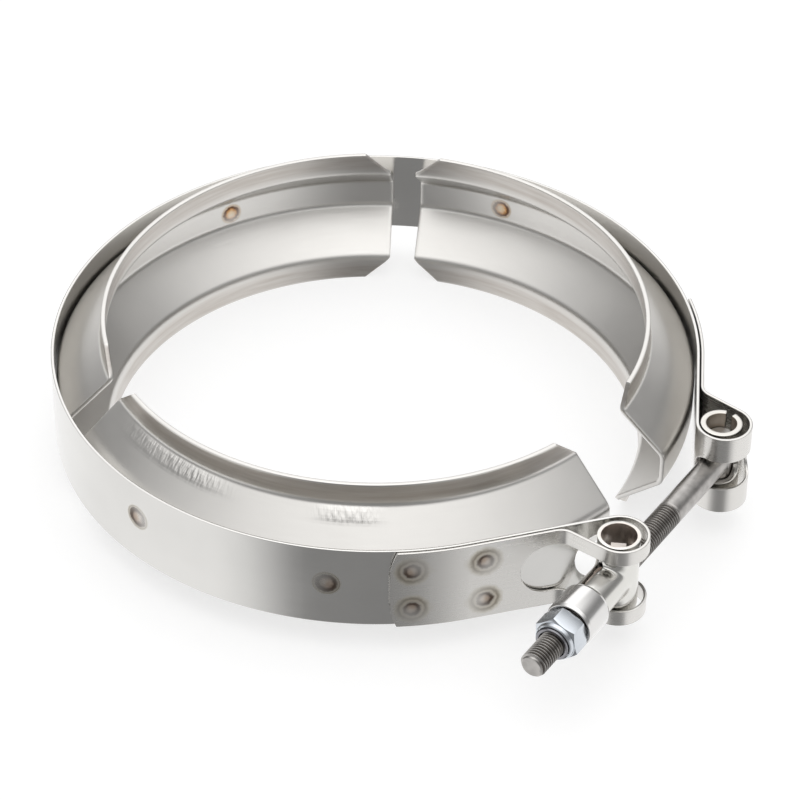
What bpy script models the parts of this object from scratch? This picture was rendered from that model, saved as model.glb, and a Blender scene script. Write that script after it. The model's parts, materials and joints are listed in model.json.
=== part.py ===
"""T-bolt V-band clamp, modelled in metres with +Z up, lying on its lower lips.

Three rolled V-section retainers are spot-welded inside a flat strap. Each end of the strap is
wrapped back on itself into a loop that holds a trunnion. A T-bolt hangs in one trunnion and
runs through the sleeve of the other, where a ferrule and a self-locking nut draw the ends in.
The ring's opening faces +X, and the origin is at the centre of the footprint.
"""

from math import asin, atan2, cos, pi, radians, sin, sqrt, tan

import bmesh
import bpy
from mathutils import Matrix, Vector

MM = 0.001

# Clearances
SEAT_GAP = 0.3 * MM
BARREL_CLEARANCE = 1.23 * MM
LOOP_SLACK = 0.85 * MM
BOLT_SLOT_CLEARANCE = 1.2 * MM
SLEEVE_SLOT_CLEARANCE = 2.7 * MM

# Strap
RING_RADIUS = 100.0 * MM
STRAP_WIDTH = 28.0 * MM
STRAP_THICKNESS = 1.0 * MM
LEAF_END_ANGLE = radians(50.6)
LEAF_CLIP_LENGTH = 2.2 * MM
LEAF_CLIP_WIDTH = 4.5 * MM
LEAF_BEND_RADIUS = 5.0 * MM
LEAF_BEND_SETBACK = 15.0 * MM

# The end that holds the T-bolt
BOLT_END_ANGLE = radians(32.4)
BOLT_END_RUN = 32.0 * MM
BOLT_END_REST = radians(210.0)
BOLT_SLOT_INNER = 9.8 * MM
BOLT_SLOT_OUTER = 16.0 * MM

# The end that holds the nut's trunnion
NUT_END_ANGLE = radians(-37.1)
NUT_END_RUN = 43.2 * MM
NUT_END_REST = radians(-103.0)
SLEEVE_SLOT_INNER = 11.0 * MM
SLEEVE_SLOT_OUTER = 28.0 * MM

# Retainers
RETAINER_THICKNESS = 1.5 * MM
BASE_HALF_WIDTH = 5.0 * MM
GROOVE_DEPTH = 14.3 * MM
LEG_RISE = 12.2 * MM
LIP_HEIGHT = 7.4 * MM
LIP_LEAN = 0.2 * MM
FOOT_BEND_RADIUS = 3.5 * MM
NECK_BEND_RADIUS = 3.0 * MM
CLIP_LENGTH = 8.2 * MM
SHORT_CLIP_LENGTH = 4.7 * MM
RETAINER_RISE = 1.0 * MM
BACK_GAP_ANGLE = radians(121.0)
BACK_GAP_WIDTH = 9.6 * MM
FRONT_GAP_ANGLE = radians(238.6)
FRONT_GAP_WIDTH = 11.8 * MM
OPENING_HALF_ANGLE = radians(8.4)

# Trunnions
SLEEVE_SHOULDER = 1.15 * MM
NUT_TUBE_WALL = 1.25 * MM
ROLLED_WALL = 1.8 * MM
SEAM_WIDTH = 2.6 * MM
BOLT_WINDOW_REACH = 2.5 * MM
SLEEVE_LENGTH = 16.0 * MM
SLEEVE_WALL = 0.9 * MM
SLEEVE_SEAM_WIDTH = 1.8 * MM
SLEEVE_SEAM_ANGLE = radians(115.0)

# T-bolt
BOLT_RADIUS = 3.97 * MM
BOLT_PROTRUSION = 11.8 * MM
BOLT_TIP_CHAMFER = 0.9 * MM
T_HEAD_LENGTH = 18.4 * MM

# Ferrule and nut
FERRULE_LENGTH = 12.0 * MM
FERRULE_RIM = 1.4 * MM
FERRULE_MOUTH = 1.3 * MM
FERRULE_SHOULDER = 0.6 * MM
NUT_ACROSS_FLATS = 12.7 * MM
NUT_LENGTH = 6.4 * MM
NUT_CHAMFER = radians(30.0)
NUT_CORNER_ANGLE = radians(40.0)
CROWN_RADIUS = 5.95 * MM
CROWN_LENGTH = 1.5 * MM
LOCK_RING_WALL = 0.95 * MM
LOCK_RING_DEPTH = 1.2 * MM
LOCK_RING_PROUD = 0.8 * MM

# Facets
RING_STEP = radians(4.0)
LOOP_STEP = radians(14.0)
BEND_STEPS = 3
ROUND_SEGMENTS = 32
SLOT_END_STEPS = 6
CLIP_COLUMNS = 3
LEAST_COLUMN = 0.25 * MM
SHARP_ANGLE = radians(32.0)
WELD_DISTANCE = 0.001 * MM

# Radii and lengths that follow
STRAP_CENTRE_RADIUS = RING_RADIUS - STRAP_THICKNESS / 2
LEAF_OFFSET = STRAP_THICKNESS + SEAT_GAP
TRUNNION_RADIUS = BOLT_RADIUS + BARREL_CLEARANCE + SLEEVE_SHOULDER
TRUNNION_HEIGHT = STRAP_WIDTH
SLEEVE_BORE = BOLT_RADIUS + BARREL_CLEARANCE
SLEEVE_RADIUS = SLEEVE_BORE + SLEEVE_WALL
LOOP_RADIUS = TRUNNION_RADIUS + SEAT_GAP + LOOP_SLACK
LOOP_CENTRE_RADIUS = LOOP_RADIUS + STRAP_THICKNESS / 2
T_HEAD_RADIUS = TRUNNION_RADIUS - ROLLED_WALL - SEAT_GAP
RETAINER_OUTER_RADIUS = RING_RADIUS - STRAP_THICKNESS - SEAT_GAP
RETAINER_HALF_HEIGHT = BASE_HALF_WIDTH + LEG_RISE + LIP_HEIGHT
FERRULE_RADIUS = SLEEVE_RADIUS + FERRULE_RIM
THREAD_BORE = BOLT_RADIUS + SEAT_GAP
FERRULE_START = SLEEVE_LENGTH + SEAT_GAP
NUT_START = FERRULE_START + FERRULE_LENGTH + SEAT_GAP
CROWN_START = NUT_START + NUT_LENGTH
CROWN_END = CROWN_START + CROWN_LENGTH


class StrapEnd:
    """Where one end of the strap leaves the ring, and the loop that it is wrapped into."""

    def __init__(self, angle, run, rest):
        self.angle = angle
        self.run = run
        self.outward = Vector((cos(angle), sin(angle)))
        side = 1 if angle > 0 else -1
        self.along = Vector((side * sin(angle), -side * cos(angle)))
        self.start = self.outward * STRAP_CENTRE_RADIUS
        self.loop_centre = self.place(run, LOOP_CENTRE_RADIUS)
        slack = LOOP_RADIUS - TRUNNION_RADIUS - SEAT_GAP
        self.trunnion = self.loop_centre + slack * Vector((cos(rest), sin(rest)))

    def place(self, along, outward):
        """A point this far along the straight run and this far outward from its centreline."""
        return self.start + self.along * along + self.outward * outward


BOLT_END = StrapEnd(BOLT_END_ANGLE, BOLT_END_RUN, BOLT_END_REST)
NUT_END = StrapEnd(NUT_END_ANGLE, NUT_END_RUN, NUT_END_REST)
BOLT_LINE = NUT_END.trunnion - BOLT_END.trunnion
BOLT_SPAN = BOLT_LINE.length
BOLT_TURN = atan2(BOLT_LINE.y, BOLT_LINE.x)
BOLT_LENGTH = BOLT_SPAN + CROWN_END + BOLT_PROTRUSION

# The footprint reaches from the back of the ring to the ferrule's far side
FERRULE_REACH = FERRULE_START + FERRULE_LENGTH - FERRULE_MOUTH
REACH = NUT_END.trunnion.x + FERRULE_REACH * cos(BOLT_TURN) - FERRULE_RADIUS * sin(BOLT_TURN)
RING_CENTRE = Vector(((RING_RADIUS - REACH) / 2, 0.0, RETAINER_HALF_HEIGHT - RETAINER_RISE))

# Turns a form that was raised along Z so that it runs along the bolt, the pivots' X axis
Z_ALONG_BOLT = Matrix(((0, 0, 1), (1, 0, 0), (0, 1, 0))).to_4x4()

# Each piece's grey and how rough its surface is
FINISHES = {
    "strap": ((0.66, 0.65, 0.64), 0.28),
    "retainer_right": ((0.60, 0.59, 0.57), 0.32),
    "retainer_left": ((0.60, 0.59, 0.57), 0.32),
    "retainer_front": ((0.60, 0.59, 0.57), 0.32),
    "bolt_trunnion": ((0.62, 0.60, 0.56), 0.35),
    "t_bolt": ((0.40, 0.39, 0.38), 0.38),
    "nut_trunnion": ((0.60, 0.59, 0.57), 0.25),
    "nut_ferrule": ((0.68, 0.67, 0.66), 0.22),
    "lock_nut": ((0.62, 0.65, 0.70), 0.30),
    "lock_ring": ((0.42, 0.42, 0.44), 0.35),
}


def steel(name):
    """The bare metal of one piece, named after it."""
    shade, roughness = FINISHES[name]
    material = bpy.data.materials.new(name)
    material.use_nodes = True
    shader = material.node_tree.nodes["Principled BSDF"]
    shader.inputs["Base Color"].default_value = (*shade, 1.0)
    shader.inputs["Metallic"].default_value = 1.0
    shader.inputs["Roughness"].default_value = roughness
    material.diffuse_color = (*shade, 1.0)
    return material


def add_object(name, bm, parent=None):
    """Closes off a bmesh as a named, smooth-shaded object, with its metal if it is a piece."""
    bmesh.ops.remove_doubles(bm, verts=bm.verts[:], dist=WELD_DISTANCE)
    bmesh.ops.recalc_face_normals(bm, faces=bm.faces[:])
    mesh = bpy.data.meshes.new(name)
    bm.to_mesh(mesh)
    bm.free()
    mesh.shade_smooth()
    mesh.set_sharp_from_angle(angle=SHARP_ANGLE)
    if name in FINISHES:
        mesh.materials.append(steel(name))
    piece = bpy.data.objects.new(name, mesh)
    piece.parent = parent
    bpy.context.collection.objects.link(piece)
    return piece


def add_pivot(name, plan_point, turn):
    """An empty on a trunnion's axis, whose X axis runs along the T-bolt towards its nut."""
    pivot = bpy.data.objects.new(name, None)
    pivot.location = RING_CENTRE + Vector((plan_point.x, plan_point.y, 0.0))
    pivot.rotation_euler.z = turn
    bpy.context.collection.objects.link(pivot)
    return pivot


def combine(target, tool, operation):
    """Keeps a Boolean on the target and hides the tool that it uses."""
    modifier = target.modifiers.new(tool.name, "BOOLEAN")
    modifier.operation = operation
    modifier.object = tool
    tool.hide_render = True
    tool.display_type = "WIRE"


def arc(centre, radius, start, end, step):
    """Points along an arc in plan, both ends included."""
    count = max(1, round(abs(end - start) / step))
    angles = [start + (end - start) * i / count for i in range(count + 1)]
    return [centre + radius * Vector((cos(a), sin(a))) for a in angles]


def fillet(before, corner, after, radius, steps):
    """Points that round off one corner of a line in plan."""
    back = (before - corner).normalized()
    ahead = (after - corner).normalized()
    half = back.angle(ahead) / 2
    centre = corner + (back + ahead).normalized() * (radius / sin(half))
    first = corner + back * (radius / tan(half)) - centre
    turn = pi - 2 * half
    way = 1 if first.x * back.y - first.y * back.x < 0 else -1
    return [centre + Matrix.Rotation(way * turn * i / steps, 2) @ first for i in range(steps + 1)]


def mitres(line):
    """For each point of a line, the sideways vector that offsets both its neighbours by 1."""
    sides = []
    for i, point in enumerate(line):
        into = (point - line[i - 1]).normalized() if i else None
        away = (line[i + 1] - point).normalized() if i < len(line) - 1 else None
        into = into or away
        away = away or into
        mean = (into + away).normalized()
        side = Vector((-mean.y, mean.x))
        sides.append(side / side.dot(Vector((-into.y, into.x))))
    return sides


def prism(outline, low, high):
    """A bmesh of a flat outline in X and Y, raised from one height to another."""
    bm = bmesh.new()
    face = bm.faces.new([bm.verts.new((x, y, low)) for x, y in outline])
    raised = bmesh.ops.extrude_face_region(bm, geom=[face])["geom"]
    corners = [item for item in raised if isinstance(item, bmesh.types.BMVert)]
    bmesh.ops.translate(bm, verts=corners, vec=(0, 0, high - low))
    return bm


def turned(profile):
    """A bmesh with this outline of (distance along X, radius), turned about the X axis."""
    bm = bmesh.new()
    corners = [bm.verts.new((x, 0, radius)) for x, radius in profile]
    closed = profile[0][1] > 0
    pairs = list(zip(corners, corners[1:] + corners[:1] if closed else corners[1:]))
    edges = [bm.edges.new(pair) for pair in pairs]
    bmesh.ops.spin(
        bm,
        geom=corners + edges,
        axis=(1, 0, 0),
        cent=(0, 0, 0),
        angle=2 * pi,
        steps=ROUND_SEGMENTS,
        use_merge=True,
    )
    return bm


def upright(radius, height):
    """A bmesh of a cylinder that stands on the mid-plane's normal, centred on the origin."""
    bm = bmesh.new()
    bmesh.ops.create_cone(
        bm,
        cap_ends=True,
        segments=ROUND_SEGMENTS,
        radius1=radius,
        radius2=radius,
        depth=height,
    )
    return bm


def end_line(end):
    """One end of the strap in plan: its loop, bend and leaf.

    The loop starts at the run, passes the nose that faces the opening and leaves along the
    tangent that meets the leaf's bend. Also returns how far the nose is from the start, and
    how far a place on the leaf level with the loop's centre would be if the leaf ran on there.
    """
    bend_to_centre = Vector((LEAF_BEND_SETBACK, LOOP_CENTRE_RADIUS - LEAF_OFFSET))
    slope = atan2(bend_to_centre.y, bend_to_centre.x)
    slope += asin(LOOP_CENTRE_RADIUS / bend_to_centre.length)
    loop_end = slope + pi / 2
    local = arc(Vector((end.run, LOOP_CENTRE_RADIUS)), LOOP_CENTRE_RADIUS, -pi / 2, loop_end, LOOP_STEP)
    loop_steps = len(local)
    bend = Vector((end.run - LEAF_BEND_SETBACK, LEAF_OFFSET))
    local += fillet(local[-1], bend, Vector((0.0, LEAF_OFFSET)), LEAF_BEND_RADIUS, BEND_STEPS)
    leaf_radius = STRAP_CENTRE_RADIUS + LEAF_OFFSET
    far = LEAF_END_ANGLE if end.angle > 0 else -LEAF_END_ANGLE
    points = [end.place(p.x, p.y) for p in local]
    points += arc(Vector((0, 0)), leaf_radius, end.angle, far, RING_STEP)
    nose = LOOP_CENTRE_RADIUS * pi / 2
    leaf_start = loop_steps + BEND_STEPS
    level = lengths(points)[leaf_start] - (end.run - local[leaf_start].x)
    return points, nose, level


def lengths(line):
    """How far each point of a line is from its start, measured along it."""
    total = [0.0]
    for here, there in zip(line, line[1:]):
        total.append(total[-1] + (there - here).length)
    return total


def round_end_steps(radius):
    """Distances from the tip of a round end to the stations that draw its curve."""
    turns = [pi / 2 * i / SLOT_END_STEPS for i in range(SLOT_END_STEPS + 1)]
    return [radius * (1 - cos(turn)) for turn in turns]


def slot_half_width(x, slot):
    """Half the slot's width at this place along the strip, or None where there is no slot."""
    start, end, half = slot
    if not start <= x <= end:
        return None
    inset = max(start + half - x, x - end + half, 0.0)
    return sqrt(max(half * half - inset * inset, 0.0))


def strip_half_width(x, total):
    """Half the strip's width, which its clipped corners narrow at both ends."""
    from_end = min(x, total - x)
    clipped = max(0.0, 1 - from_end / LEAF_CLIP_LENGTH)
    return STRAP_WIDTH / 2 - LEAF_CLIP_WIDTH * clipped


def strip_rows(x, total, slots):
    """The places across the strip where it has an edge: its sides, and a slot's two sides."""
    half = strip_half_width(x, total)
    for slot in slots:
        opened = slot_half_width(x, slot)
        if opened is not None:
            opened = 0.0 if opened < WELD_DISTANCE else opened
            return [-half, 0.0, half] if opened == 0.0 else [-half, -opened, opened, half]
    return [-half, half]


def strip_columns(stations, slots):
    """Where the flat strip is creased: its bend stations and what its slots and clips need."""
    total = stations[-1]
    shaped = [0.0, LEAF_CLIP_LENGTH, total - LEAF_CLIP_LENGTH, total]
    for start, end, half in slots:
        shaped += [start + step for step in round_end_steps(half)]
        shaped += [end - step for step in round_end_steps(half)]
    kept = [x for x in stations if min(abs(x - other) for other in shaped) > LEAST_COLUMN]
    return sorted(kept + shaped)


def build_strap():
    """Lays the strip out flat with its slots, then wraps it along its line in plan."""
    bolt_side, bolt_nose, _ = end_line(BOLT_END)
    nut_side, _, nut_leaf = end_line(NUT_END)
    ring = arc(Vector((0, 0)), STRAP_CENTRE_RADIUS, BOLT_END.angle, NUT_END.angle + 2 * pi, RING_STEP)
    line = bolt_side[::-1] + ring + nut_side
    stations = lengths(line)
    bolt_middle = stations[len(bolt_side) - 1] - bolt_nose
    nut_start = stations[len(bolt_side) + len(ring)]
    bolt_slot = (
        bolt_middle - BOLT_SLOT_OUTER,
        bolt_middle + BOLT_SLOT_INNER,
        BOLT_RADIUS + BOLT_SLOT_CLEARANCE,
    )
    sleeve_slot = (
        nut_start - SLEEVE_SLOT_INNER,
        nut_start + nut_leaf + SLEEVE_SLOT_OUTER,
        SLEEVE_RADIUS + SLEEVE_SLOT_CLEARANCE,
    )
    slots = [bolt_slot, sleeve_slot]
    sides = mitres(line)
    half_thickness = STRAP_THICKNESS / 2

    def wrapped(x, across, through):
        i = max(k for k in range(len(line) - 1) if stations[k] <= x)
        share = (x - stations[i]) / (stations[i + 1] - stations[i])
        plan = line[i].lerp(line[i + 1], share) + through * sides[i].lerp(sides[i + 1], share)
        return RING_CENTRE + Vector((plan.x, plan.y, across))

    bm = bmesh.new()
    columns = []
    for x in strip_columns(stations, slots):
        rows = strip_rows(x, stations[-1], slots)
        columns.append([
            [bm.verts.new(wrapped(x, y, through)) for y in rows]
            for through in (half_thickness, -half_thickness)
        ])
    for here, there in zip(columns, columns[1:]):
        open_between = len(here[0]) > 2 and len(there[0]) > 2
        for top, next_top in zip(here, there):
            if open_between:
                bm.faces.new((top[0], top[1], next_top[1], next_top[0]))
                bm.faces.new((top[-2], top[-1], next_top[-1], next_top[-2]))
            else:
                bm.faces.new(top + next_top[::-1])
        edges = (0, 1, -2, -1) if open_between else (0, -1)
        for k in edges:
            bm.faces.new((here[0][k], there[0][k], there[1][k], here[1][k]))
    for tops, bottoms in (columns[0], columns[-1]):
        bm.faces.new(tops + bottoms[::-1])
    return add_object("strap", bm)


def retainer_section():
    """The V section's outline of (radius, height): outer face upwards, inner face back down."""
    middle = RETAINER_OUTER_RADIUS - RETAINER_THICKNESS / 2
    foot = Vector((middle, BASE_HALF_WIDTH))
    neck = Vector((middle - GROOVE_DEPTH, BASE_HALF_WIDTH + LEG_RISE))
    lip_edge = neck + Vector((-LIP_LEAN, LIP_HEIGHT))
    upper = [Vector((middle, 0.0))]
    upper += fillet(upper[0], foot, neck, FOOT_BEND_RADIUS, BEND_STEPS)
    upper += fillet(foot, neck, lip_edge, NECK_BEND_RADIUS, BEND_STEPS)
    upper.append(lip_edge)
    lower = [Vector((p.x, -p.y)) for p in upper[:0:-1]]
    centreline = lower + upper
    half = RETAINER_THICKNESS / 2
    outer = [p - half * side for p, side in zip(centreline, mitres(centreline))]
    inner = [p + half * side for p, side in zip(centreline, mitres(centreline))]
    for face in (outer, inner):
        face[0].y = -lip_edge.y
        face[-1].y = lip_edge.y
    return outer, inner


def build_retainer(name, start, end, upper_start_clip=CLIP_LENGTH):
    """Rolls the V section from one angle to another, with the lips' corners clipped off."""
    outer, inner = retainer_section()
    outline = outer + inner[::-1]
    neck_height = BASE_HALF_WIDTH + LEG_RISE
    count = round((end - start) / RING_STEP)
    bm = bmesh.new()
    columns = []
    for j in range(count + 1):
        angle = start + (end - start) * j / count
        near_start = max(0.0, 1 - j / CLIP_COLUMNS)
        near_end = max(0.0, 1 - (count - j) / CLIP_COLUMNS)
        column = []
        for radius, height in outline:
            start_clip = upper_start_clip if height > 0 else CLIP_LENGTH
            clip = start_clip * near_start - CLIP_LENGTH * near_end
            turn = angle + clip / radius * max(0.0, abs(height) - neck_height) / LIP_HEIGHT
            column.append(bm.verts.new((radius * cos(turn), radius * sin(turn), height)))
        columns.append(column)
    for left, right in zip(columns, columns[1:]):
        for k in range(len(outline)):
            n = (k + 1) % len(outline)
            bm.faces.new((left[k], right[k], right[n], left[n]))
    for column in (columns[0], columns[-1]):
        for k in range(len(outer) - 1):
            far = len(outline) - 1 - k
            bm.faces.new((column[k], column[k + 1], column[far - 1], column[far]))
    bmesh.ops.translate(bm, verts=bm.verts[:], vec=RING_CENTRE + Vector((0, 0, RETAINER_RISE)))
    return add_object(name, bm)


def stadium(start, end, half_width):
    """The outline of a round-ended slot that runs along X."""
    def round_end(x, first):
        turns = [first + pi * i / SLOT_END_STEPS for i in range(SLOT_END_STEPS + 1)]
        return [(x + half_width * cos(a), half_width * sin(a)) for a in turns]

    return round_end(end - half_width, -pi / 2) + round_end(start + half_width, pi / 2)


def build_bolt_trunnion(pivot):
    """A rolled tube, its seam opposite the bolt, with a window that the bolt comes out of."""
    inner = TRUNNION_RADIUS - ROLLED_WALL
    half_seam = asin(SEAM_WIDTH / 2 / TRUNNION_RADIUS)
    step = 2 * pi / ROUND_SEGMENTS
    centre = Vector((0, 0))
    wall = arc(centre, TRUNNION_RADIUS, half_seam - pi, pi - half_seam, step)
    wall += arc(centre, inner, pi - half_seam, half_seam - pi, step)
    half = TRUNNION_HEIGHT / 2
    tube = add_object("bolt_trunnion", prism(wall, -half, half), pivot)
    reach = BOLT_RADIUS + SEAT_GAP
    window = stadium(-reach, reach + BOLT_WINDOW_REACH, reach)
    bm = prism(window, 0.0, 2 * TRUNNION_RADIUS)
    bmesh.ops.transform(bm, matrix=Z_ALONG_BOLT, verts=bm.verts[:])
    combine(tube, add_object("bolt_window_cutter", bm, pivot), "DIFFERENCE")
    return tube


def build_t_bolt(pivot):
    """A round shank with a chamfered tip, joined to the cross head that turns in the tube."""
    chamfer = BOLT_TIP_CHAMFER
    profile = [
        (0.0, 0.0),
        (0.0, BOLT_RADIUS),
        (BOLT_LENGTH - chamfer, BOLT_RADIUS),
        (BOLT_LENGTH, BOLT_RADIUS - chamfer),
        (BOLT_LENGTH, 0.0),
    ]
    bolt = add_object("t_bolt", turned(profile), pivot)
    head = add_object("t_head_form", upright(T_HEAD_RADIUS, T_HEAD_LENGTH), pivot)
    combine(bolt, head, "UNION")
    return bolt


def build_nut_trunnion(pivot):
    """A cross tube with a sleeve round the bolt; the sleeve's seam is open along its top."""
    height = TRUNNION_HEIGHT
    tube = add_object("nut_trunnion", upright(TRUNNION_RADIUS, height), pivot)
    sleeve = [(0.0, 0.0), (0.0, SLEEVE_RADIUS), (SLEEVE_LENGTH, SLEEVE_RADIUS), (SLEEVE_LENGTH, 0.0)]
    combine(tube, add_object("sleeve_form", turned(sleeve), pivot), "UNION")
    hollow = upright(TRUNNION_RADIUS - NUT_TUBE_WALL, 2 * height)
    combine(tube, add_object("tube_bore_cutter", hollow, pivot), "DIFFERENCE")
    reach = 2 * SLEEVE_LENGTH
    bore = [(-reach, 0.0), (-reach, SLEEVE_BORE), (reach, SLEEVE_BORE), (reach, 0.0)]
    combine(tube, add_object("sleeve_bore_cutter", turned(bore), pivot), "DIFFERENCE")
    half = SLEEVE_SEAM_WIDTH / 2
    slit = [(TRUNNION_RADIUS, -half), (reach, -half), (reach, half), (TRUNNION_RADIUS, half)]
    bm = prism(slit, 0.0, 2 * SLEEVE_RADIUS)
    turn = Matrix.Rotation(SLEEVE_SEAM_ANGLE - pi / 2, 4, "X")
    bmesh.ops.transform(bm, matrix=turn, verts=bm.verts[:])
    combine(tube, add_object("sleeve_seam_cutter", bm, pivot), "DIFFERENCE")
    return tube


def build_ferrule(pivot):
    """A turned spacer: a shoulder at the sleeve and a rounded mouth under the nut."""
    start = BOLT_SPAN + FERRULE_START
    end = start + FERRULE_LENGTH
    shoulder = FERRULE_SHOULDER
    mouth = FERRULE_MOUTH
    rim = [
        (end - mouth * (1 - sin(a)), FERRULE_RADIUS - mouth * (1 - cos(a)))
        for a in (0.0, pi / 8, pi / 4, 3 * pi / 8, pi / 2)
    ]
    profile = [
        (start, THREAD_BORE),
        (start, FERRULE_RADIUS - shoulder),
        (start + shoulder, FERRULE_RADIUS),
        *rim,
        (end, THREAD_BORE),
    ]
    return add_object("nut_ferrule", turned(profile), pivot)


def build_lock_nut(pivot):
    """A turned blank with chamfers, crown and ring seat, trimmed by a hexagon."""
    start = BOLT_SPAN + NUT_START
    crown_start = BOLT_SPAN + CROWN_START
    crown_end = BOLT_SPAN + CROWN_END
    corner = NUT_ACROSS_FLATS / 2 / cos(pi / 6)
    bevel = (corner - NUT_ACROSS_FLATS / 2) * tan(NUT_CHAMFER)
    seat = THREAD_BORE + LOCK_RING_WALL + SEAT_GAP
    profile = [
        (start, THREAD_BORE),
        (start, NUT_ACROSS_FLATS / 2),
        (start + bevel, corner),
        (crown_start - bevel, corner),
        (crown_start, NUT_ACROSS_FLATS / 2),
        (crown_start, CROWN_RADIUS),
        (crown_end, CROWN_RADIUS),
        (crown_end, seat),
        (crown_end - LOCK_RING_DEPTH, seat),
        (crown_end - LOCK_RING_DEPTH, THREAD_BORE),
    ]
    nut = add_object("lock_nut", turned(profile), pivot)
    angles = [NUT_CORNER_ANGLE + pi / 3 * i for i in range(6)]
    hexagon = [(corner * cos(a), corner * sin(a)) for a in angles]
    bm = prism(hexagon, start - NUT_LENGTH, crown_end + NUT_LENGTH)
    bmesh.ops.transform(bm, matrix=Z_ALONG_BOLT, verts=bm.verts[:])
    combine(nut, add_object("hexagon_form", bm, pivot), "INTERSECT")
    return nut


def build_lock_ring(pivot):
    """The ring in the nut's crown that grips the thread."""
    end = BOLT_SPAN + CROWN_END
    start = end - LOCK_RING_DEPTH + SEAT_GAP
    proud = end + LOCK_RING_PROUD
    outer = THREAD_BORE + LOCK_RING_WALL
    profile = [(start, THREAD_BORE), (start, outer), (proud, outer), (proud, THREAD_BORE)]
    return add_object("lock_ring", turned(profile), pivot)


def build_retainers():
    """Three retainers that share the ring between them, with gaps and the clamp's opening."""
    back = BACK_GAP_WIDTH / RING_RADIUS / 2
    front = FRONT_GAP_WIDTH / RING_RADIUS / 2
    build_retainer("retainer_right", OPENING_HALF_ANGLE, BACK_GAP_ANGLE - back, SHORT_CLIP_LENGTH)
    build_retainer("retainer_left", BACK_GAP_ANGLE + back, FRONT_GAP_ANGLE - front)
    build_retainer("retainer_front", FRONT_GAP_ANGLE + front, 2 * pi - OPENING_HALF_ANGLE)


def build_clamp():
    """The whole clamp, piece by piece."""
    for piece in list(bpy.data.objects):
        bpy.data.objects.remove(piece)
    build_strap()
    build_retainers()
    bolt_pivot = add_pivot("bolt_pivot", BOLT_END.trunnion, BOLT_TURN)
    nut_pivot = add_pivot("nut_pivot", NUT_END.trunnion, BOLT_TURN)
    build_bolt_trunnion(bolt_pivot)
    build_t_bolt(bolt_pivot)
    build_nut_trunnion(nut_pivot)
    build_ferrule(bolt_pivot)
    build_lock_nut(bolt_pivot)
    build_lock_ring(bolt_pivot)


build_clamp()
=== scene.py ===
# %% [markdown]
# # A T-bolt V-band clamp
# The real clamp is bent sheet metal: a flat strap rolled into a ring, three V-section retainers
# spot-welded inside it, and a bolt that pulls the strap's two looped ends together. The packed
# CAD model already has the right sizes and joints. This script loads it and builds a finer
# piece over each node: rounded sheet edges, weld marks, a real thread and satin steel.

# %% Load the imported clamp
import json
from math import asin, atan2, cos, pi, radians, sin, sqrt, tan

import bmesh
import bpy
import numpy as np
from mathutils import Matrix, Vector


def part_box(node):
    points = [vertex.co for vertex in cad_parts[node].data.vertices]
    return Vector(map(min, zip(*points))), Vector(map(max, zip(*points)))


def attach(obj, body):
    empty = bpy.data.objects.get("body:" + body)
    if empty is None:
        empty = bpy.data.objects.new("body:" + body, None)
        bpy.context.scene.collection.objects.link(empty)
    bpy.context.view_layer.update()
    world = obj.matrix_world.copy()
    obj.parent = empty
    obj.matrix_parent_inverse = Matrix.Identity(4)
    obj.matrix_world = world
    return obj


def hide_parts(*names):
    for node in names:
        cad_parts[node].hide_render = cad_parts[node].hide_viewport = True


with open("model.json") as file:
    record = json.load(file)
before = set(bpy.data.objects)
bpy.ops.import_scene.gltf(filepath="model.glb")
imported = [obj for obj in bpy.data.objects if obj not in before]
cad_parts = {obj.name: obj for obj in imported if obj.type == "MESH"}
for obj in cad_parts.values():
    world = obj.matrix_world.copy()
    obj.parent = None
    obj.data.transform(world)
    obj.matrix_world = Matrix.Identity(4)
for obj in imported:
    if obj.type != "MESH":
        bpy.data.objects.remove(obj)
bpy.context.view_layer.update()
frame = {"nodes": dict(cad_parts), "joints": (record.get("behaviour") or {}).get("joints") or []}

print("CAD nodes:", ", ".join(sorted(frame["nodes"])))

# %% [markdown]
# ## Where things are
# The pieces aren't placed by eye. The record says where both trunnions turn and which way the
# bolt points, and the strap's own box gives the ring's centre. All lengths are in metres, so a
# millimetre is named once and every size is written in it.

# %% Axes and sizes
MM = 0.001
joints = {joint["name"]: joint for joint in frame["joints"]}
BOLT_HINGE = Vector(joints["t_bolt_swing"]["pos_m"])
NUT_HINGE = Vector(joints["nut_trunnion_turn"]["pos_m"])
ALONG_BOLT = Vector(joints["nut_travel"]["axis"]).normalized()

RING_RADIUS = 100 * MM
STRAP_WIDTH = 28 * MM
SHEET = 1 * MM
strap_low, strap_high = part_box("strap")
RING_CENTRE = Vector((strap_low.x + RING_RADIUS, 0, (strap_low.z + strap_high.z) / 2))
retainer_low, retainer_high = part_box("retainer_left")
RETAINER_MIDDLE = (retainer_low.z + retainer_high.z) / 2
BOLT_SPAN = (NUT_HINGE - BOLT_HINGE).length


def bolt_frame(origin):
    """Local axes on a trunnion: X along the bolt to its nut, Z up, Y outwards from the ring."""
    up = Vector((0, 0, 1))
    turn = Matrix((ALONG_BOLT, up.cross(ALONG_BOLT), up)).transposed()
    return Matrix.Translation(origin) @ turn.to_4x4()


AT_BOLT_HINGE = bolt_frame(BOLT_HINGE)
AT_NUT_HINGE = bolt_frame(NUT_HINGE)
print(f"Ring centre {RING_CENTRE.x:.4f}, {RING_CENTRE.z:.4f} m")
print(f"Hinges {BOLT_SPAN / MM:.1f} mm apart")

# %% [markdown]
# ## Small helpers for shader nodes
# A finish is easier to read as a list of steps than as a picture of wires. These helpers add a
# node, link what is passed in, and hand back the socket that the next step needs.

# %% Shader helpers
def wire(tree, kind, **inputs):
    """Adds a shader node; each named input takes a value or another node's socket."""
    node = tree.nodes.new(kind)
    for key, value in inputs.items():
        name = key.replace("_", " ")
        if name not in node.inputs:
            setattr(node, key, value)
        elif isinstance(value, bpy.types.NodeSocket):
            tree.links.new(value, node.inputs[name])
        else:
            node.inputs[name].default_value = value
    return node


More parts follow.
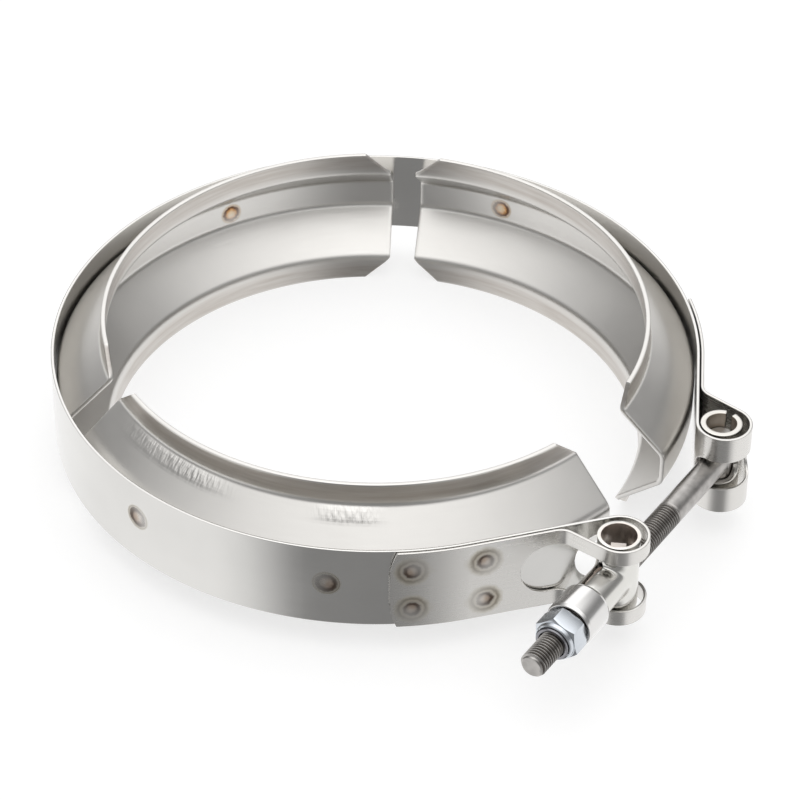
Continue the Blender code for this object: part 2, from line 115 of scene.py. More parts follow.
def feed(tree, socket, value):
    """Links a socket to another, or sets it to a plain value."""
    if isinstance(value, bpy.types.NodeSocket):
        tree.links.new(value, socket)
    elif isinstance(value, tuple):
        socket.default_value = (*value, 1)
    else:
        socket.default_value = value


def sums(tree, operation, first, second, third=0.0):
    """A Math node on sockets or numbers."""
    node = wire(tree, "ShaderNodeMath", operation=operation)
    for socket, value in zip(node.inputs, (first, second, third)):
        feed(tree, socket, value)
    return node.outputs[0]


def blend(tree, share, first, second, blend_type="MIX"):
    """Mixes two colours."""
    node = wire(tree, "ShaderNodeMix", data_type="RGBA", blend_type=blend_type)
    for place, value in ((0, share), (6, first), (7, second)):
        feed(tree, node.inputs[place], value)
    return node.outputs[2]


def ramp(tree, factor, stops):
    """A colour ramp from (position, grey or colour) stops."""
    node = tree.nodes.new("ShaderNodeValToRGB")
    tree.links.new(factor, node.inputs["Fac"])
    elements = node.color_ramp.elements
    while len(elements) < len(stops):
        elements.new(0.5)
    for element, (position, shade) in zip(elements, stops):
        element.position = position
        element.color = (*shade, 1) if isinstance(shade, tuple) else (shade, shade, shade, 1)
    return node.outputs["Color"]


# %% [markdown]
# ## Marks of the making
# A spot weld leaves a button of scorched metal: a gold or brown disc with a dark ring round it,
# and on the folded-back ends a wide halo too. Rolling leaves a brownish, streaky tone on the
# lips and short ridges under the neck. All of these could be painted, but they follow the
# sheet's flat shape. So each mesh carries numbers for them at its points, called attributes,
# and the shader turns them into colour, roughness or a bump. For a weld, one number is the
# distance from it, which makes its rings plain stops on a ramp, and another is its burnt side.

# %% Weld marks
WELD_REACH = 6 * MM
HALO_START = 0.46
HALO_SQUEEZE = 4.0
WELD_CORE = 0.08
RAGGEDNESS = 0.20
BURNT_SIDE_SHARE = 0.28
BUTTON_STRENGTH = [
    (0.0, 0.72), (0.16, 0.70), (0.25, 0.85), (0.31, 0.98), (0.39, 0.95),
    (0.46, 0.60), (0.55, 0.58), (0.63, 0.80), (0.74, 0.66), (0.97, 0.0),
]
BUTTON_TINTS = [
    (0.0, (0.40, 0.275, 0.17)),
    (0.18, (0.27, 0.175, 0.11)),
    (0.30, (0.08, 0.052, 0.038)),
    (0.41, (0.10, 0.072, 0.050)),
    (0.52, (0.37, 0.31, 0.21)),
    (0.66, (0.17, 0.14, 0.095)),
    (0.85, (0.45, 0.40, 0.29)),
]
GOLD_TINTS = [
    (0.0, (0.95, 0.74, 0.46)),
    (0.15, (0.90, 0.62, 0.32)),
    (0.25, (0.74, 0.36, 0.10)),
    (0.34, (0.15, 0.07, 0.035)),
    (0.44, (0.24, 0.12, 0.055)),
    (0.52, (0.62, 0.46, 0.29)),
    (0.85, (0.66, 0.58, 0.47)),
]


def measured(tree, name):
    """A number that the mesh carries at each of its points."""
    return wire(tree, "ShaderNodeAttribute", attribute_name=name).outputs["Fac"]


def speckle(tree, place, scale, detail, roughness, stretch=None):
    """Noise on a place, stretched or not, as a number about a half."""
    if stretch:
        place = wire(tree, "ShaderNodeMapping", Vector=place, Scale=stretch).outputs["Vector"]
    settings = {"Scale": scale, "Detail": detail, "Roughness": roughness}
    return wire(tree, "ShaderNodeTexNoise", Vector=place, **settings).outputs["Fac"]


def weld_marks(tree, place, colour, tints):
    """Burns a ragged, one-sided ring and a faint halo into the colour round each weld."""
    ragged = speckle(tree, place, 650.0, 3.0, 0.6)
    distance = sums(tree, "MULTIPLY_ADD", ragged, RAGGEDNESS, measured(tree, "weld_distance"))
    distance = sums(tree, "SUBTRACT", distance, RAGGEDNESS / 2)
    side = measured(tree, "weld_side")
    side = sums(tree, "MULTIPLY_ADD", side, BURNT_SIDE_SHARE, 1 - BURNT_SIDE_SHARE)
    strength = sums(tree, "MULTIPLY", ramp(tree, distance, BUTTON_STRENGTH), side)
    return blend(tree, strength, colour, ramp(tree, distance, tints)), strength


# %% Marks of the rolls
LIP_TONE = (0.50, 0.465, 0.43)
RIDGE_HEIGHT = 0.36 * MM


def drawn_lips(tree, place, colour):
    """A brownish, streaky tone where the rolls held the sheet hardest."""
    streaks = speckle(tree, place, 700.0, 2.0, 0.6, (0.06, 1.0, 1.0))
    share = sums(tree, "MULTIPLY_ADD", streaks, 1.2, 0.2)
    share = sums(tree, "MULTIPLY", measured(tree, "lip"), share)
    return blend(tree, share, colour, LIP_TONE)


def chatter(tree, place, bumps):
    """Short ridges across the sheet, about a millimetre apart, where the rolls stretched it."""
    ridges = speckle(tree, place, 900.0, 1.0, 0.5, (1.0, 0.30, 1.0))
    height = sums(tree, "MULTIPLY", ridges, measured(tree, "chatter"))
    deeper = wire(tree, "ShaderNodeBump", Strength=1.0, Distance=RIDGE_HEIGHT, Height=height)
    tree.links.new(bumps.outputs["Normal"], deeper.inputs["Normal"])
    return deeper


# %% [markdown]
# ## Bare steel
# Every piece is bare metal, and what sets them apart is finish: the strap is rolled strip with
# a fine grain along its length, the retainers are satin, the bolt is dull and dark. One
# function builds them all. A stretched noise is the grain and a soft one is the handling marks.
# Both go mostly to roughness, because on metal the eye reads finish from how highlights break
# up far more than from colour. Two more attributes help: `rubbed` is where the strip was
# handled most and went dull, and `hidden` is how deep a point lies in a thread's root or a bore,
# where the finish is duller and the colour is mixed towards a tone of its own.

# %% The steel itself
RUBBED_TONE = (0.69, 0.675, 0.65)
GRAIN_SCALE = 1500.0
HANDLED_SPREAD = 0.12
GRAIN_SPREAD = 0.10
DULLED = {"rubbed": 0.10, "burnt": 0.20, "hidden": 0.15}


def steel(name, shade, rough, grain=None, cloud=0.03, mottle=38.0, dents=0.003, **marks):
    """Bare metal. A sheet takes its weld tints as welds; other pieces may take a colour for their
    thread roots and bores.
    """
    material = bpy.data.materials.new(name)
    material.use_nodes = True
    tree = material.node_tree
    shader = tree.nodes["Principled BSDF"]
    shader.inputs["Metallic"].default_value = 1.0
    place = tree.nodes.new("ShaderNodeTexCoord").outputs["UV" if "welds" in marks else "Object"]
    handled = speckle(tree, place, mottle, 3.0, 0.5)
    lines = speckle(tree, place, GRAIN_SCALE, 2.0, 0.6, grain)
    low = tuple(c * (1 - cloud) for c in shade)
    high = tuple(min(1.0, c * (1 + cloud)) for c in shade)
    colour = ramp(tree, handled, [(0.35, low), (0.65, high)])
    smoothest = rough - (HANDLED_SPREAD + GRAIN_SPREAD) / 2
    roughness = sums(tree, "MULTIPLY_ADD", handled, HANDLED_SPREAD, smoothest)
    roughness = sums(tree, "MULTIPLY_ADD", lines, GRAIN_SPREAD, roughness)
    bumps = wire(tree, "ShaderNodeBump", Strength=0.5, Distance=dents * MM, Height=lines)
    if "welds" in marks:
        rubbed = measured(tree, "rubbed")
        roughness = sums(tree, "MULTIPLY_ADD", rubbed, DULLED["rubbed"], roughness)
        colour = blend(tree, rubbed, colour, RUBBED_TONE)
        colour = drawn_lips(tree, place, colour)
        colour, burnt = weld_marks(tree, place, colour, marks["welds"])
        roughness = sums(tree, "MULTIPLY_ADD", burnt, DULLED["burnt"], roughness)
        bumps = chatter(tree, place, bumps)
    # Thread roots and bores get the given tone mixed into their colour, and a duller finish.
    if "dirt" in marks:
        hidden = measured(tree, "hidden")
        colour = blend(tree, hidden, colour, marks["dirt"])
        roughness = sums(tree, "MULTIPLY_ADD", hidden, DULLED["hidden"], roughness)
    tree.links.new(colour, shader.inputs["Base Color"])
    tree.links.new(roughness, shader.inputs["Roughness"])
    tree.links.new(bumps.outputs["Normal"], shader.inputs["Normal"])
    return material


# %% The finishes
# A near-black tone for the colour of the bolt's thread roots.
THREAD_ROOT_TONE = (0.10, 0.085, 0.07)
# Browner tones for the colour inside the bores of the rolled tube and of the nut's trunnion.
TUBE_BORE_TONE = (0.66, 0.60, 0.53)
SLEEVE_BORE_TONE = (0.74, 0.68, 0.63)
STEELS = {
    "strap": steel(
        "rolled_strip_steel", (0.68, 0.67, 0.65), 0.18, (0.05, 1, 1), welds=BUTTON_TINTS),
    "retainer": steel(
        "satin_sheet_steel", (0.70, 0.685, 0.66), 0.33, (0.05, 1, 1), welds=GOLD_TINTS),
    "rolled_tube": steel(
        "rolled_tube_steel", (0.66, 0.64, 0.60), 0.24, (1, 1, 0.1), dirt=TUBE_BORE_TONE),
    "sleeve": steel(
        "sleeve_steel", (0.70, 0.69, 0.66), 0.18, (0.1, 1, 1), dirt=SLEEVE_BORE_TONE),
    "bolt": steel(
        "dull_bolt_steel", (0.42, 0.405, 0.39), 0.31, (0.2, 1, 1), 0.14, 330.0, 0.010, dirt=THREAD_ROOT_TONE),
    "ferrule": steel("turned_steel", (0.72, 0.71, 0.70), 0.17, (1, 0.1, 0.1)),
    "nut": steel("zinc_plate", (0.60, 0.63, 0.67), 0.20),
    "ring": steel("dark_ring_steel", (0.30, 0.30, 0.32), 0.34, cloud=0.08),
}
print("Finishes:", ", ".join(material.name for material in STEELS.values()))

# %% [markdown]
# ## From a flat sheet to a bent one
# Strap, retainers and rolled tube all start as flat sheet, so one helper makes them: a grid of
# columns along the sheet and rows across it. A slot is not cut out with a Boolean. The rows
# simply part around it, which keeps every face a clean quad that bends well. The grid is the
# sheet's middle surface; Solidify gives it thickness and Bevel rounds its sheared edges.

# %% Finishing and baking a piece
def finish_piece(obj, node, body, material, smooth_angle=35.0):
    """Smooth shading, a material, and the CAD node and body that the piece stands for."""
    obj.data.materials.clear()
    obj.data.materials.append(material)
    obj.data.shade_smooth()
    obj.data.set_sharp_from_angle(angle=radians(smooth_angle))
    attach(obj, body)
    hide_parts(node)
    print(f"{obj.name}: {len(obj.data.polygons)} faces on body {body}")
    return obj


def new_object(name, vertices, faces):
    """A mesh object at the origin, with its place in its vertices."""
    mesh = bpy.data.meshes.new(name)
    mesh.from_pydata([tuple(v) for v in vertices], [], faces)
    obj = bpy.data.objects.new(name, mesh)
    bpy.context.scene.collection.objects.link(obj)
    return obj


def bake(obj):
    """Applies all modifiers, so that the mesh itself holds the final shape."""
    graph = bpy.context.evaluated_depsgraph_get()
    final = bpy.data.meshes.new_from_object(obj.evaluated_get(graph), depsgraph=graph)
    obj.modifiers.clear()
    old, obj.data = obj.data, final
    bpy.data.meshes.remove(old)
    return obj


# %% Numbers that a mesh carries
def store(mesh, name, values):
    """Gives each vertex of a mesh a number for the shader to read."""
    attribute = mesh.attributes.new(name, "FLOAT", "POINT")
    attribute.data.foreach_set("value", np.asarray(values, dtype=np.float32))


def mark_welds(mesh, points, welds):
    """Stores each vertex's distance from its nearest weld, and how far it is on the burnt side.

    A weld without a halo has the outer part of its marks squeezed to a thin line.
    """
    nearest = np.full(len(points), 1.0)
    side = np.zeros(len(points))
    for x, y, burnt_side, size, halo in welds:
        offset = (points - (x, y)) / (WELD_REACH * size)
        length = np.hypot(offset[:, 0], offset[:, 1])
        if not halo:
            length += HALO_SQUEEZE * np.maximum(0, length - HALO_START)
        here = length < nearest
        toward = offset[:, 0] * cos(burnt_side) + offset[:, 1] * sin(burnt_side)
        side[here] = (toward / np.maximum(length, WELD_CORE))[here]
        nearest[here] = length[here]
    store(mesh, "weld_distance", nearest)
    store(mesh, "weld_side", side)


# %% Sheet helper
def bent_sheet(name, columns, rows, edges, place, thickness, rounding, welds=(), **marks):
    """A sheet whose rows run from its slot's edge to its side.

    edges(x) gives both edges and place(x, y) bends the sheet. The middle row is shared where
    there is no slot and parts where there is one. Each mark is a function of the flat place and
    becomes an attribute for the finish.
    """
    vertices, faces, flat, index = [], [], [], {}
    for i, x in enumerate(columns):
        opened, side = edges(x)
        for j, share in enumerate(rows):
            across = opened + (side - opened) * share
            for way in (1, -1):
                if way < 0 and j == 0 and opened == 0:
                    index[i, 0, -1] = index[i, 0, 1]
                    continue
                index[i, j, way] = len(vertices)
                vertices.append(place(x, way * across))
                flat.append((x, way * across))
    for i in range(len(columns) - 1):
        for j in range(len(rows) - 1):
            for way in (1, -1):
                corners = ((i, j), (i + 1, j), (i + 1, j + 1), (i, j + 1))
                quad = [index[column, row, way] for column, row in corners]
                faces.append(tuple(quad[::way]))
    obj = new_object(name, vertices, faces)
    points = np.array(flat)
    layer = obj.data.uv_layers.new(name="flat")
    corners = np.zeros(len(obj.data.loops), dtype=int)
    obj.data.loops.foreach_get("vertex_index", corners)
    layer.data.foreach_set("uv", points[corners].astype(np.float32).ravel())
    mark_welds(obj.data, points, welds)
    for mark, measure in marks.items():
        store(obj.data, mark, [measure(x, y) for x, y in flat])
    thicken = obj.modifiers.new("thickness", "SOLIDIFY")
    thicken.thickness = thickness
    thicken.offset = 0
    thicken.use_even_offset = True
    sheared = obj.modifiers.new("sheared edges", "BEVEL")
    sheared.width = rounding
    sheared.segments = 2
    sheared.limit_method = "ANGLE"
    sheared.angle_limit = radians(60)
    sheared.use_clamp_overlap = False
    return bake(obj)


# %% Columns, and dimples at the welds
def spaced(start, end, step, points=(), reach=0.0, fine=None):
    """Places from start to end, closer together within reach of each listed point."""
    stops = [start]
    while stops[-1] < end:
        here = stops[-1]
        near = any(p - reach - step < here < p + reach for p in points)
        stops.append(here + (fine if near else step))
    stops[-1] = end
    if len(stops) > 2 and end - stops[-2] < (fine or step) / 2:
        del stops[-2]
    return stops


DIMPLE_DEPTH = 0.10 * MM
DIMPLE_RADIUS = 1.9 * MM


def dimples(x, y, welds):
    """How far the sheet is pressed in by the welding electrodes."""
    return -DIMPLE_DEPTH * sum(
        np.exp(-(((x - px) ** 2 + (y - py) ** 2) / DIMPLE_RADIUS ** 2) ** 2)
        for px, py, *_ in welds
        if abs(x - px) < 3 * DIMPLE_RADIUS and abs(y - py) < 3 * DIMPLE_RADIUS
    )


# %% [markdown]
# ## The strap
# In plan the strap is one long line: a folded-back leaf, a loop, a straight run, most of a
# circle, and the same again in reverse. It is drawn as points at small steps along that line,
# and a place on the flat strip is then a distance along it. The slots that let the bolt and the
# sleeve through are given the same way, as distances along the strip. The CAD ring has flat
# facets, and a true circle is drawn a little smaller to stay within them.

# %% Arcs and rounded corners
LINE_STEP = 0.4 * MM


def arc(centre, radius, start, end, step=LINE_STEP):
    """Points along an arc, both ends included."""
    count = max(1, round(abs(end - start) * radius / step))
    angles = np.linspace(start, end, count + 1)
    return [Vector(centre) + radius * Vector((cos(a), sin(a))) for a in angles]


def fillet(before, corner, after, radius, step=LINE_STEP):
    """Points that round off one corner of a line."""
    back, ahead = (before - corner).normalized(), (after - corner).normalized()
    half = back.angle(ahead) / 2
    centre = corner + (back + ahead).normalized() * (radius / sin(half))
    first = corner + back * (radius / tan(half)) - centre
    turn = pi - 2 * half
    way = 1 if first.x * back.y - first.y * back.x < 0 else -1
    count = max(2, round(turn * radius / step))
    return [centre + Matrix.Rotation(way * turn * i / count, 2) @ first for i in range(count + 1)]


def stations(line):
    """How far each point of a line is from its start."""
    steps = [0.0] + [(b - a).length for a, b in zip(line, line[1:])]
    return np.cumsum(steps)


# %% One end of the strap
LOOP_RADIUS = 8 * MM
LEAF_OFFSET = 1.3 * MM
LEAF_BEND_SETBACK = 15 * MM
LEAF_BEND_RADIUS = 5 * MM
LEAF_END_ANGLE = radians(50.6)
WITHIN_FACETS = 0.03 * MM
STRAP_RADIUS = RING_RADIUS - SHEET / 2 - WITHIN_FACETS
STRAP_SHEET = SHEET - 2 * WITHIN_FACETS


def strap_end(angle, run):
    """The loop, bend and leaf of one end, with the distances that its slot and welds are set by."""
    side = 1 if angle > 0 else -1
    outward = Vector((cos(angle), sin(angle)))
    along = Vector((side * sin(angle), -side * cos(angle)))
    to_centre = Vector((LEAF_BEND_SETBACK, LOOP_RADIUS - LEAF_OFFSET))
    slope = atan2(to_centre.y, to_centre.x) + asin(LOOP_RADIUS / to_centre.length)
    local = arc((run, LOOP_RADIUS), LOOP_RADIUS, -pi / 2, slope + pi / 2)
    bend = Vector((run - LEAF_BEND_SETBACK, LEAF_OFFSET))
    local += fillet(local[-1], bend, Vector((0, LEAF_OFFSET)), LEAF_BEND_RADIUS)
    leaf_begins = len(local) - 1
    leaf_starts = local[-1]
    local += [leaf_starts.lerp(Vector((0, LEAF_OFFSET)), share) for share in (0.25, 0.5, 0.75)]
    line = [outward * STRAP_RADIUS + along * p.x + outward * p.y for p in local]
    arc_begins = len(line)
    line += arc((0, 0), STRAP_RADIUS + LEAF_OFFSET, angle, side * LEAF_END_ANGLE)
    marks = stations(line)
    level = marks[leaf_begins] - (run - local[leaf_begins].x)
    return line, level, marks[arc_begins]


# %% The whole line
BOLT_END_ANGLE = radians(32.4)
BOLT_END_RUN = 32 * MM
NUT_END_ANGLE = radians(-37.1)
NUT_END_RUN = 43.2 * MM
bolt_side, _, bolt_leaf = strap_end(BOLT_END_ANGLE, BOLT_END_RUN)
nut_side, nut_level, nut_leaf = strap_end(NUT_END_ANGLE, NUT_END_RUN)
ring = arc((0, 0), STRAP_RADIUS, BOLT_END_ANGLE, NUT_END_ANGLE + 2 * pi)
strap_line = bolt_side[::-1] + ring + nut_side
strap_marks = stations(strap_line)
LOOP_AT_BOLT = strap_marks[len(bolt_side) - 1]
RING_BEGINS = strap_marks[len(bolt_side)]
LOOP_AT_NUT = strap_marks[len(bolt_side) + len(ring)]
strap_end_mark = strap_marks[-1]
print(f"The flat strip is {strap_end_mark / MM:.0f} mm long")

# %% [markdown]
# ## Slots, clipped ends and welds on the flat strip
# A round-ended slot needs its half width at any distance along the strip, and so does the
# strip itself, because its two ends were sheared to a bulging curve. The spot welds are a list
# of places on the same flat strip: one row round the ring that holds the retainers, and four on
# each folded-back leaf. Each has its own burnt side, and the ones on the leaves have the halo
# that shows there on the real one.

# %% The flat strip's edges
HALF_STRIP = STRAP_WIDTH / 2
LOOP_QUARTER = LOOP_RADIUS * pi / 2
BOLT_SLOT_MIDDLE = LOOP_AT_BOLT - LOOP_QUARTER
BOLT_SLOT = (BOLT_SLOT_MIDDLE - 16 * MM, BOLT_SLOT_MIDDLE + 9.8 * MM, 5.17 * MM)
SLEEVE_SLOT = (LOOP_AT_NUT - 11 * MM, LOOP_AT_NUT + nut_level + 28 * MM, 8.8 * MM)
END_BULGE = 2.2 * MM
LEAST_END = 0.35


def slot_edge(x, slot):
    """Half the slot's width at this distance, or nothing outside the slot."""
    start, end, half = slot
    if not start <= x <= end:
        return 0.0
    inset = max(start + half - x, x - end + half, 0)
    return sqrt(max(half ** 2 - inset ** 2, 0))


def strap_edges(x):
    """The slot's half width and the strip's at this distance along it."""
    from_end = max(min(x, strap_end_mark - x), 0.0)
    share = max(LEAST_END, min(1.0, from_end / END_BULGE) ** (1 / 3))
    opened = max(slot_edge(x, BOLT_SLOT), slot_edge(x, SLEEVE_SLOT))
    return (0.0 if opened < 1e-6 else opened), HALF_STRIP * share


# %% Spot welds
def on_ring(degrees):
    """The distance along the strip of a place on the ring."""
    return RING_BEGINS + (radians(degrees % 360) - BOLT_END_ANGLE) * STRAP_RADIUS


RING_WELDS = {
    "retainer_right": [(42.0, 0.6), (66.0, 0.4), (101.8, 0.8)],
    "retainer_left": [(156.5, 0.7), (205.4, 0.5)],
    "retainer_front": [(262.7, 2.3), (299.0, 1.2)],
}
LEAF_WELD_HEIGHT = 7.2 * MM
GOLDEN_ANGLE = pi * (3 - sqrt(5))
RING_WELD_SIZE = 1.3
ring_spots = [spot for spots in RING_WELDS.values() for spot in spots]
ring_welds = [(on_ring(degrees), height * MM) for degrees, height in ring_spots]
nut_leaf_mark = LOOP_AT_NUT + nut_leaf
bolt_leaf_mark = LOOP_AT_BOLT - bolt_leaf
leaf_places = [nut_leaf_mark - 4.5 * MM, nut_leaf_mark + 17.1 * MM]
leaf_places += [bolt_leaf_mark - 25.5 * MM, bolt_leaf_mark - 3.7 * MM]
leaf_welds = [(x, way * LEAF_WELD_HEIGHT) for x in leaf_places for way in (1, -1)]
strap_welds = [
    (x, y, 4.0 + GOLDEN_ANGLE * k, RING_WELD_SIZE, False) for k, (x, y) in enumerate(ring_welds)
]
strap_welds += [(x, y, 0.8 + GOLDEN_ANGLE * k, 1.0, True) for k, (x, y) in enumerate(leaf_welds)]
print(f"{len(ring_welds)} welds round the ring, {len(leaf_welds)} on the leaves")

# %% How the strip bends
line_points = np.array([tuple(p) for p in strap_line])
tangents = np.gradient(line_points, axis=0)
tangents /= np.linalg.norm(tangents, axis=1)[:, None]
line_sides = np.stack([-tangents[:, 1], tangents[:, 0]], axis=1)


def on_strap(x, y):
    """The place in space of a place on the flat strip, pressed in a little at each weld."""
    plan = [np.interp(x, strap_marks, line_points[:, k]) for k in (0, 1)]
    side = [np.interp(x, strap_marks, line_sides[:, k]) for k in (0, 1)]
    inward = -1 if LOOP_AT_BOLT < x < LOOP_AT_NUT else 1
    shift = inward * dimples(x, y, strap_welds)
    bent = (plan[0] + side[0] * shift, plan[1] + side[1] * shift)
    return (RING_CENTRE.x + bent[0], bent[1], RING_CENTRE.z + y)


def rubbed_at(x, y):
    """The loops and folded-back leaves were handled more, and their finish is duller."""
    past_ring = max(LOOP_AT_BOLT - x, x - LOOP_AT_NUT)
    return min(1.0, max(0.0, past_ring / LOOP_RADIUS))


# %% The strip's columns and rows
def slot_stops(slot, steps):
    """Columns that follow both round ends of a slot."""
    start, end, half = slot
    insets = [half * (1 - cos(pi / 2 * i / steps)) for i in range(steps + 1)]
    return [start + inset for inset in insets] + [end - inset for inset in insets]


end_stops = [END_BULGE * share ** 3 for share in np.linspace(LEAST_END, 1, 8)]
special = slot_stops(BOLT_SLOT, 12) + slot_stops(SLEEVE_SLOT, 12) + end_stops
special += [strap_end_mark - stop for stop in end_stops] + [0.0, strap_end_mark]
FINE_REACH = 5 * MM
LOOP_REACH = 2.9 * LOOP_QUARTER
weld_marks_along = [weld[0] for weld in strap_welds]
plain = spaced(0, strap_end_mark, 2.2 * MM, weld_marks_along, FINE_REACH, 0.38 * MM)
for loop in (LOOP_AT_BOLT - 2 * LOOP_QUARTER, LOOP_AT_NUT + 2 * LOOP_QUARTER):
    turn = np.arange(loop - LOOP_REACH, loop + LOOP_REACH, 0.8 * MM)
    plain += [float(x) for x in turn if min(abs(x - other) for other in plain) > 0.4 * MM]
clear = [x for x in plain if min(abs(x - other) for other in special) > 0.2 * MM]
strap_columns = sorted(set(special + clear))
BY_THE_EDGE = 0.985
strap_rows = sorted(list(np.linspace(0, 1, 27)) + [BY_THE_EDGE])
print(f"{len(strap_columns)} columns by {2 * len(strap_rows)} rows")

# %% Bend the strip
strap = bent_sheet(
    "strap_sheet", strap_columns, strap_rows, strap_edges, on_strap, STRAP_SHEET, 0.22 * MM,
    strap_welds, rubbed=rubbed_at)
finish_piece(strap, "strap", "band", STEELS["strap"])

# %% [markdown]
# ## The retainers
# A retainer is a V-section channel: a narrow base against the strap, two steep legs that wedge
# the pipe flanges together, and a straight lip on each leg. It is rolled to the ring and its
# corners are clipped, so the lips are shorter than the base. The section is a line with two
# fillets, and rolling it means swapping its first coordinate for a radius. Rolling stretches
# the sheet most at the neck, where the tool leaves a row of chatter marks.

# %% The retainer's section
RETAINER_SHEET = 1.5 * MM
BASE_RADIUS = 97.95 * MM
BASE_HALF = 5 * MM
GROOVE_DEPTH = 14.3 * MM
LEG_RISE = 12.2 * MM
LIP_HEIGHT = 7.4 * MM
LIP_LEAN = 0.2 * MM
FOOT_BEND = 3.5 * MM
NECK_BEND = 3 * MM
foot = Vector((BASE_RADIUS, BASE_HALF))
neck = Vector((BASE_RADIUS - GROOVE_DEPTH, BASE_HALF + LEG_RISE))
lip_edge = neck + Vector((-LIP_LEAN, LIP_HEIGHT - WITHIN_FACETS))
section = [Vector((BASE_RADIUS, 0))]
section += fillet(section[0], foot, neck, FOOT_BEND, 0.3 * MM)
neck_begins = len(section)
section += fillet(foot, neck, lip_edge, NECK_BEND, 0.3 * MM)
section.append(lip_edge)
section_marks = stations(section)
SECTION_HALF = section_marks[-1]
NECK_MARK = section_marks[neck_begins]
LIP_MARK = SECTION_HALF - LIP_HEIGHT
even = np.linspace(0, SECTION_HALF, 36)
even = [x for x in even if min(abs(section_marks - x)) > 0.15 * MM]
retainer_rows = [x / SECTION_HALF for x in sorted(even + list(section_marks))]
print(f"Half of the section is {SECTION_HALF / MM:.1f} mm of sheet, in {len(retainer_rows)} rows")

# %% Rolling and clipping a retainer
CLIP_LENGTH = 8.2 * MM
SHORT_CLIP_LENGTH = 4.7 * MM
CLIP_EASE = 20 * MM
CHATTER_HALF_HEIGHT = 2.2 * MM
GOLD_WELD_SIZE = 1.15
RIM = 0.1 * MM


def build_retainer(name, start_degrees, end_degrees, chattered=(), upper_start_clip=CLIP_LENGTH):
    """One rolled V-section, from one angle on the ring to another."""
    start, end = radians(start_degrees), radians(end_degrees)
    length = (end - start) * BASE_RADIUS
    rise = RETAINER_MIDDLE - RING_CENTRE.z
    welds = [
        ((radians(a) - start) * BASE_RADIUS, height * MM - rise, 2.0 + a, GOLD_WELD_SIZE, False)
        for a, height in RING_WELDS[name]
    ]

    def on_retainer(x, y):
        """The place in space of a place on the flat retainer."""
        radius = np.interp(abs(y), section_marks, [p.x for p in section])
        height = np.interp(abs(y), section_marks, [p.y for p in section])
        on_lip = max(0.0, height - neck.y) / LIP_HEIGHT
        start_clip = upper_start_clip if y > 0 else CLIP_LENGTH
        clip = start_clip * max(0.0, 1 - x / CLIP_EASE)
        clip -= CLIP_LENGTH * max(0.0, 1 - (length - x) / CLIP_EASE)
        turn = start + x / BASE_RADIUS + clip * on_lip / radius
        radius -= dimples(x, y, welds)
        height *= 1 if y > 0 else -1
        return (RING_CENTRE.x + radius * cos(turn), radius * sin(turn), RETAINER_MIDDLE + height)

    def chatter_at(x, y):
        """How strong the ridges are, under the upper neck and at the listed angles."""
        degrees = start_degrees + x / BASE_RADIUS * 180 / pi
        along = sum(np.exp(-((degrees - middle) / half) ** 4) for middle, half in chattered)
        below_neck = (y - NECK_MARK + CHATTER_HALF_HEIGHT) / CHATTER_HALF_HEIGHT
        return min(1.0, along) * np.exp(-below_neck ** 4)

    def lip_at(x, y):
        """Full on both lips, fading out round their bends, and none on the sheared rim."""
        on_rim = abs(y) > SECTION_HALF - RIM
        return 0.0 if on_rim else min(1.0, max(0.0, (abs(y) - LIP_MARK) / NECK_BEND))

    columns = spaced(0, length, 1.2 * MM, [weld[0] for weld in welds], FINE_REACH, 0.35 * MM)
    obj = bent_sheet(
        name + "_sheet", columns, retainer_rows, lambda x: (0.0, SECTION_HALF), on_retainer,
        RETAINER_SHEET, 0.3 * MM, welds, chatter=chatter_at, lip=lip_at)
    return finish_piece(obj, name, "band", STEELS["retainer"])


# %% The three retainers
build_retainer("retainer_right", 8.4, 118.25, upper_start_clip=SHORT_CLIP_LENGTH)
build_retainer("retainer_left", 123.75, 235.22)
build_retainer("retainer_front", 241.98, 351.6, chattered=[(263, 13), (302, 6)])

# %% [markdown]
# ## Turned and threaded pieces
# Ferrule, nut and lock ring are turned on a lathe, so they are outlines spun about the bolt's
# axis. The thread is a helix, not a stack of rings: each row of its grid moves on by one pitch
# for every turn, which is how a die cuts it.

# %% Lathe helpers
def turned(name, profile, segments=96):
    """Spins a closed outline of (distance along X, radius) about the X axis, as a local mesh."""
    count = len(profile)
    vertices = [
        (x, r * cos(2 * pi * j / segments), r * sin(2 * pi * j / segments))
        for j in range(segments)
        for x, r in profile
    ]
    faces = []
    for j in range(segments):
        this, after = j * count, (j + 1) % segments * count
        for i in range(count):
            k = (i + 1) % count
            faces.append((this + i, this + k, after + k, after + i))
    return new_object(name, vertices, faces)


def tidy_normals(obj):
    """Merges doubled points and turns all faces outwards."""
    bm = bmesh.new()
    bm.from_mesh(obj.data)
    bmesh.ops.remove_doubles(bm, verts=bm.verts[:], dist=0.002 * MM)
    bmesh.ops.recalc_face_normals(bm, faces=bm.faces[:])
    bm.to_mesh(obj.data)
    bm.free()
    return obj


def rounded(outline, radius):
    """Rounds the corners of a closed outline."""
    points = [Vector(p) for p in outline]
    made = []
    for i, corner in enumerate(points):
        made += fillet(points[i - 1], corner, points[(i + 1) % len(points)], radius, radius / 2.5)
    return [tuple(p) for p in made]


def into_place(obj, matrix):
    """Moves a local mesh into the shared frame and leaves the object at the origin."""
    obj.data.transform(matrix)
    return obj


UPRIGHT = Matrix.Rotation(pi / 2, 4, "Y")


# %% Boolean helpers
def boolean(target, tool, operation):
    """Applies a Boolean at once and removes its tool."""
    modifier = target.modifiers.new(operation.lower(), "BOOLEAN")
    modifier.operation = operation
    modifier.solver = "EXACT"
    modifier.object = tool
    bake(target)
    bpy.data.objects.remove(tool)
    return target


def soften(obj, width, segments=2, angle=35):
    """Rounds the edges that a Boolean left sharp."""
    modifier = obj.modifiers.new("soft edges", "BEVEL")
    modifier.width = width
    modifier.segments = segments
    modifier.limit_method = "ANGLE"
    modifier.angle_limit = radians(angle)
    modifier.harden_normals = False
    return bake(obj)


